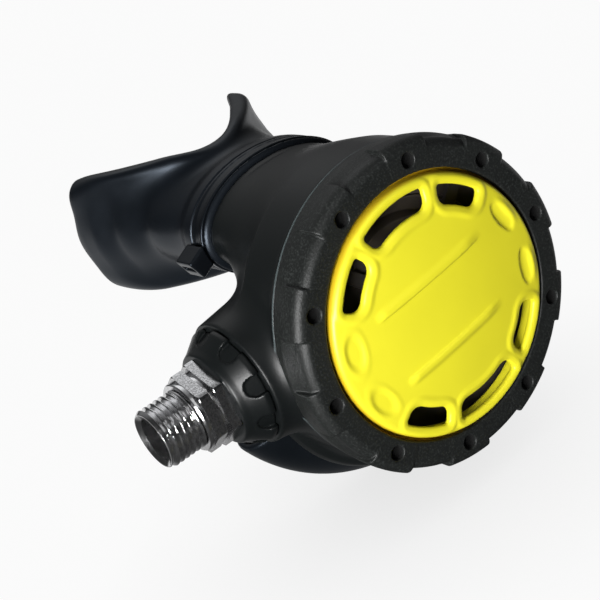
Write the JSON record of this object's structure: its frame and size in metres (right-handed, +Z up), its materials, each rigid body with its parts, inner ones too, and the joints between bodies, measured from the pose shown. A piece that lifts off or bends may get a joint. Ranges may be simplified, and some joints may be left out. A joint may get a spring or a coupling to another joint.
{
  "type": "scuba regulator second stage",
  "caption": "Diver's demand valve: round housing with a domed purge cover in a ring, side inlet with a hose thread, exhaust diffuser and a soft mouthpiece.",
  "frame": {"origin": "centre of the circle of spanner holes, on the front face of the front ring", "axes": "+Z up as worn, -Y out of the front face, +Y towards the diver's mouth, -X along the inlet towards the hose"},
  "size_m": [0.1033, 0.1063, 0.0832],
  "materials": {
    "housing": "satin moulded plastic",
    "front_ring": "fine grained moulded plastic",
    "purge_cover": "satin moulded plastic",
    "spring_steel": "drawn wire",
    "slip_ring": "natural plastic",
    "purge_guide": "moulded plastic",
    "diaphragm": "silicone",
    "diaphragm_plate": "pressed sheet",
    "chromed_brass": "polished chrome",
    "inlet_collar": "satin moulded plastic",
    "seal_rubber": "smooth",
    "brass": "turned",
    "poppet": "moulded plastic",
    "poppet_seat": "silicone",
    "steel": "pressed sheet",
    "air_deflector": "moulded plastic",
    "exhaust_valve": "silicone",
    "diffuser_rubber": "smooth moulded rubber",
    "mouthpiece_silicone": "smooth silicone",
    "tie_nylon": "moulded nylon"
  },
  "bodies": {
    "body": {"housing": "housing", "front_ring": "front_ring", "slip_ring": "slip_ring", "purge_guide": "purge_guide", "purge_spring": "spring_steel", "diaphragm": "diaphragm", "valve_barrel": "chromed_brass", "inlet_collar": "inlet_collar", "barrel_lock_nut": "chromed_brass", "barrel_seal": "seal_rubber", "orifice": "brass", "orifice_seal": "seal_rubber", "valve_spring": "spring_steel", "air_deflector": "air_deflector", "exhaust_valve": "exhaust_valve", "exhaust_diffuser": "diffuser_rubber", "mouthpiece": "mouthpiece_silicone", "mouthpiece_tie": "tie_nylon"},
    "purge": {"purge_cover": "purge_cover"},
    "plate": {"diaphragm_plate": "diaphragm_plate"},
    "lever": {"demand_lever": "steel"},
    "poppet": {"poppet": "poppet", "poppet_seat": "poppet_seat", "lever_washer": "steel", "poppet_nut": "steel"}
  },
  "joints": [
    {"name": "purge_press", "type": "slide", "parent": "body", "child": "purge", "axis": [0, 1, 0], "range_m": [0, 0.003], "stiffness_N_per_m": 600, "springref_m": -0.002, "deforming": ["purge_spring", "diaphragm"]},
    {"name": "plate_slide", "type": "slide", "parent": "body", "child": "plate", "axis": [0, 1, 0], "range_m": [0, 0.0031]},
    {"name": "lever_pivot", "type": "hinge", "parent": "body", "child": "lever", "pos_m": [0.018, 0.0247, 0], "axis": [0, 0, 1], "range_deg": [-9.8, 0]},
    {"name": "poppet_slide", "type": "slide", "parent": "body", "child": "poppet", "axis": [1, 0, 0], "range_m": [0, 0.0006], "deforming": ["valve_spring"]}
  ],
  "couplings": [
    {"joint": "plate_slide", "follows": "purge_press", "ratio": 1},
    {"joint": "lever_pivot", "follows": "purge_press", "rad_per_m": -55.556},
    {"joint": "poppet_slide", "follows": "purge_press", "ratio": 0.16667}
  ]
}
